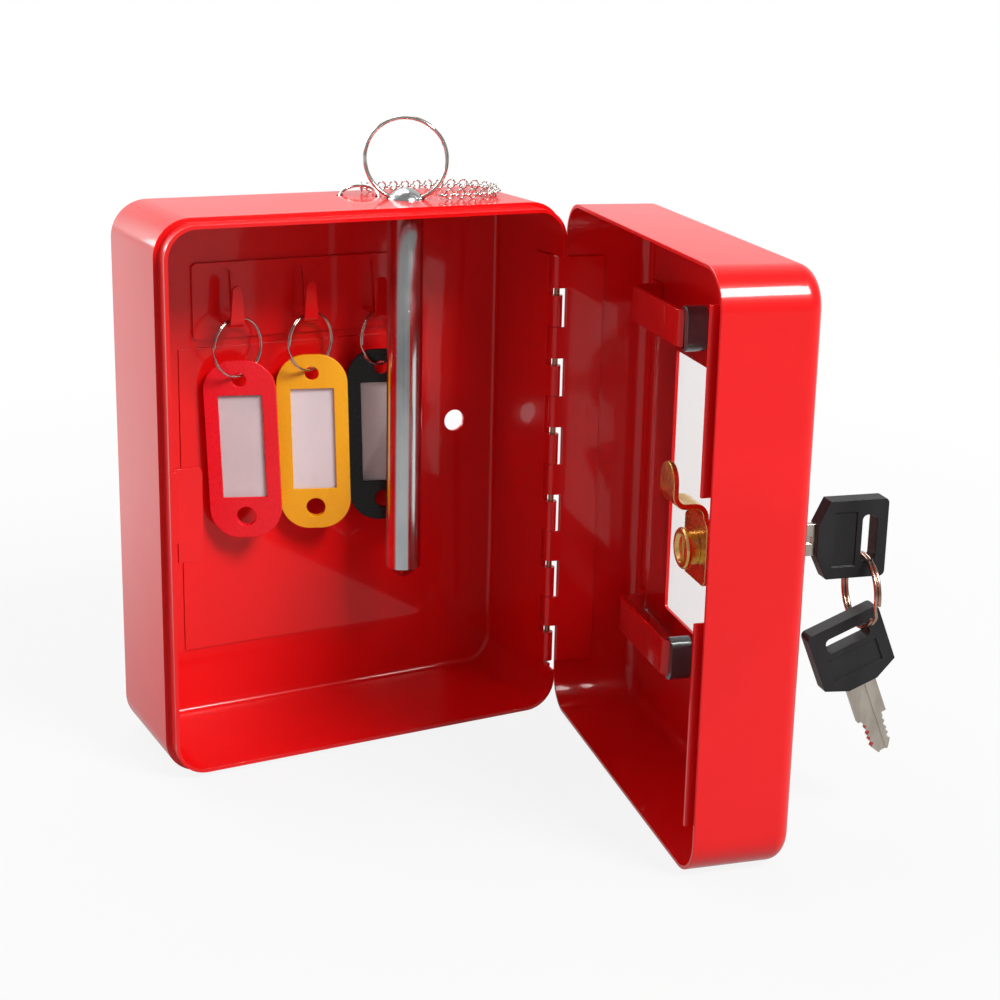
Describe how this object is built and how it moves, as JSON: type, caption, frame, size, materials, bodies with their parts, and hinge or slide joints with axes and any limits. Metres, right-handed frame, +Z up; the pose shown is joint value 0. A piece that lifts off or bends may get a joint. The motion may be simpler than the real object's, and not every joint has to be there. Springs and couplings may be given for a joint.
{
  "type": "break glass key box",
  "caption": "Wall key box of red steel: hinged lid with glass window and cam lock, striker rod on a chain, hooks inside with key tags",
  "frame": {"origin": "middle of the flat back that lies on the wall", "axes": "+Z up, +X to the hinge side, -Y out of the wall towards the viewer of the closed box"},
  "size_m": [0.1627, 0.1558, 0.1728],
  "materials": {
    "red_paint": "glossy powder coat",
    "plated_steel": "zinc plated",
    "nickel_wire": "bright nickel",
    "nickel_key": "satin nickel",
    "hinge_pin_steel": "copper washed",
    "yellow_zinc": "yellow passivated",
    "wafer_brass": "stamped",
    "window_glass": "clear",
    "grey_sleeve": "glossy soft plastic",
    "black_plastic": "satin",
    "red_plastic": "glossy",
    "yellow_plastic": "glossy",
    "label_paper": "matt",
    "clear_film": "clear"
  },
  "bodies": {
    "body": {"body_shell": "red_paint", "hook_plate": "red_paint", "latch_keeper": "red_paint", "hinge_leaf_body": "red_paint", "hinge_pin": "hinge_pin_steel", "anchor_ring": "nickel_wire", "retaining_chain": "nickel_wire"},
    "lid": {"lid_shell": "red_paint", "hinge_leaf_lid": "red_paint", "lid_guard_strip": "red_paint", "glass_pane": "window_glass", "glass_clip_top": "red_paint", "glass_clip_bottom": "red_paint", "clip_sleeve_top": "grey_sleeve", "clip_sleeve_bottom": "grey_sleeve", "lock_barrel": "plated_steel", "lock_nut": "plated_steel"},
    "lock_plug_body": {"lock_plug": "plated_steel", "lock_wafers": "wafer_brass", "wafer_springs": "plated_steel", "lock_cam": "yellow_zinc", "cam_nut": "yellow_zinc"},
    "key": {"key_blade": "nickel_key", "key_bow": "black_plastic"},
    "ring_of_keys": {"key_ring": "nickel_wire"},
    "spare_key": {"spare_key_blade": "nickel_key", "spare_key_bow": "black_plastic"},
    "striker": {"striker_rod": "plated_steel"},
    "striker_pull": {"striker_ring": "nickel_wire"},
    "tag_ring_red_body": {"tag_ring_red": "nickel_wire"},
    "tag_red": {"tag_frame_red": "red_plastic", "tag_label_red": "label_paper", "tag_film_red": "clear_film"},
    "tag_ring_yellow_body": {"tag_ring_yellow": "nickel_wire"},
    "tag_yellow": {"tag_frame_yellow": "yellow_plastic", "tag_label_yellow": "label_paper", "tag_film_yellow": "clear_film"},
    "tag_ring_black_body": {"tag_ring_black": "nickel_wire"},
    "tag_black": {"tag_frame_black": "black_plastic", "tag_label_black": "label_paper", "tag_film_black": "clear_film"}
  },
  "joints": [
    {"name": "lid_hinge", "type": "hinge", "parent": "body", "child": "lid", "pos_m": [0.05835, -0.0365, 0], "axis": [0, 0, 1], "range_deg": [-77.8, 42]},
    {"name": "lock_turn", "type": "hinge", "parent": "lid", "child": "lock_plug_body", "pos_m": [0.06212, -0.13026, 0.002], "axis": [0.9774, -0.2113, 0], "range_deg": [0, 90]},
    {"name": "key_slide", "type": "slide", "parent": "lock_plug_body", "child": "key", "axis": [0.9774, -0.2113, 0], "range_m": [0, 0.012]},
    {"name": "key_ring_swing", "type": "hinge", "parent": "key", "child": "ring_of_keys", "pos_m": [0.0931, -0.13696, -0.0031], "axis": [0.2113, 0.9774, 0], "range_deg": [-30, 30]},
    {"name": "spare_key_swing", "type": "hinge", "parent": "ring_of_keys", "child": "spare_key", "pos_m": [0.0931, -0.13696, -0.022], "axis": [0.2113, 0.9774, 0], "range_deg": [-20, 20]},
    {"name": "striker_slide", "type": "slide", "parent": "body", "child": "striker", "axis": [0, 0, 1], "range_m": [0, 0.108]},
    {"name": "striker_ring_tilt", "type": "hinge", "parent": "striker", "child": "striker_pull", "pos_m": [0.018, -0.022, 0.0743], "axis": [0.866, -0.5, 0], "range_deg": [-12, 12]},
    {"name": "tag_ring_red_swing", "type": "hinge", "parent": "body", "child": "tag_ring_red_body", "pos_m": [-0.026, -0.0081, 0.04213], "axis": [0.9455, 0.3256, 0], "range_deg": [-20, 0.3]},
    {"name": "tag_red_swing", "type": "hinge", "parent": "tag_ring_red_body", "child": "tag_red", "pos_m": [-0.026, -0.0081, 0.02579], "axis": [0.9455, 0.3256, 0], "range_deg": [-6, 0.4]},
    {"name": "tag_ring_yellow_swing", "type": "hinge", "parent": "body", "child": "tag_ring_yellow_body", "pos_m": [-0.0046, -0.0081, 0.04213], "axis": [0.9272, 0.3746, 0], "range_deg": [-20, 0.3]},
    {"name": "tag_yellow_swing", "type": "hinge", "parent": "tag_ring_yellow_body", "child": "tag_yellow", "pos_m": [-0.0046, -0.0081, 0.02579], "axis": [0.9272, 0.3746, 0], "range_deg": [-6, 0.4]},
    {"name": "tag_ring_black_swing", "type": "hinge", "parent": "body", "child": "tag_ring_black_body", "pos_m": [0.0168, -0.0081, 0.04213], "axis": [0.8988, 0.4384, 0], "range_deg": [-3, 0.3]},
    {"name": "tag_black_swing", "type": "hinge", "parent": "tag_ring_black_body", "child": "tag_black", "pos_m": [0.0168, -0.0081, 0.02579], "axis": [0.8988, 0.4384, 0], "range_deg": [-2.5, 0.4]}
  ]
}
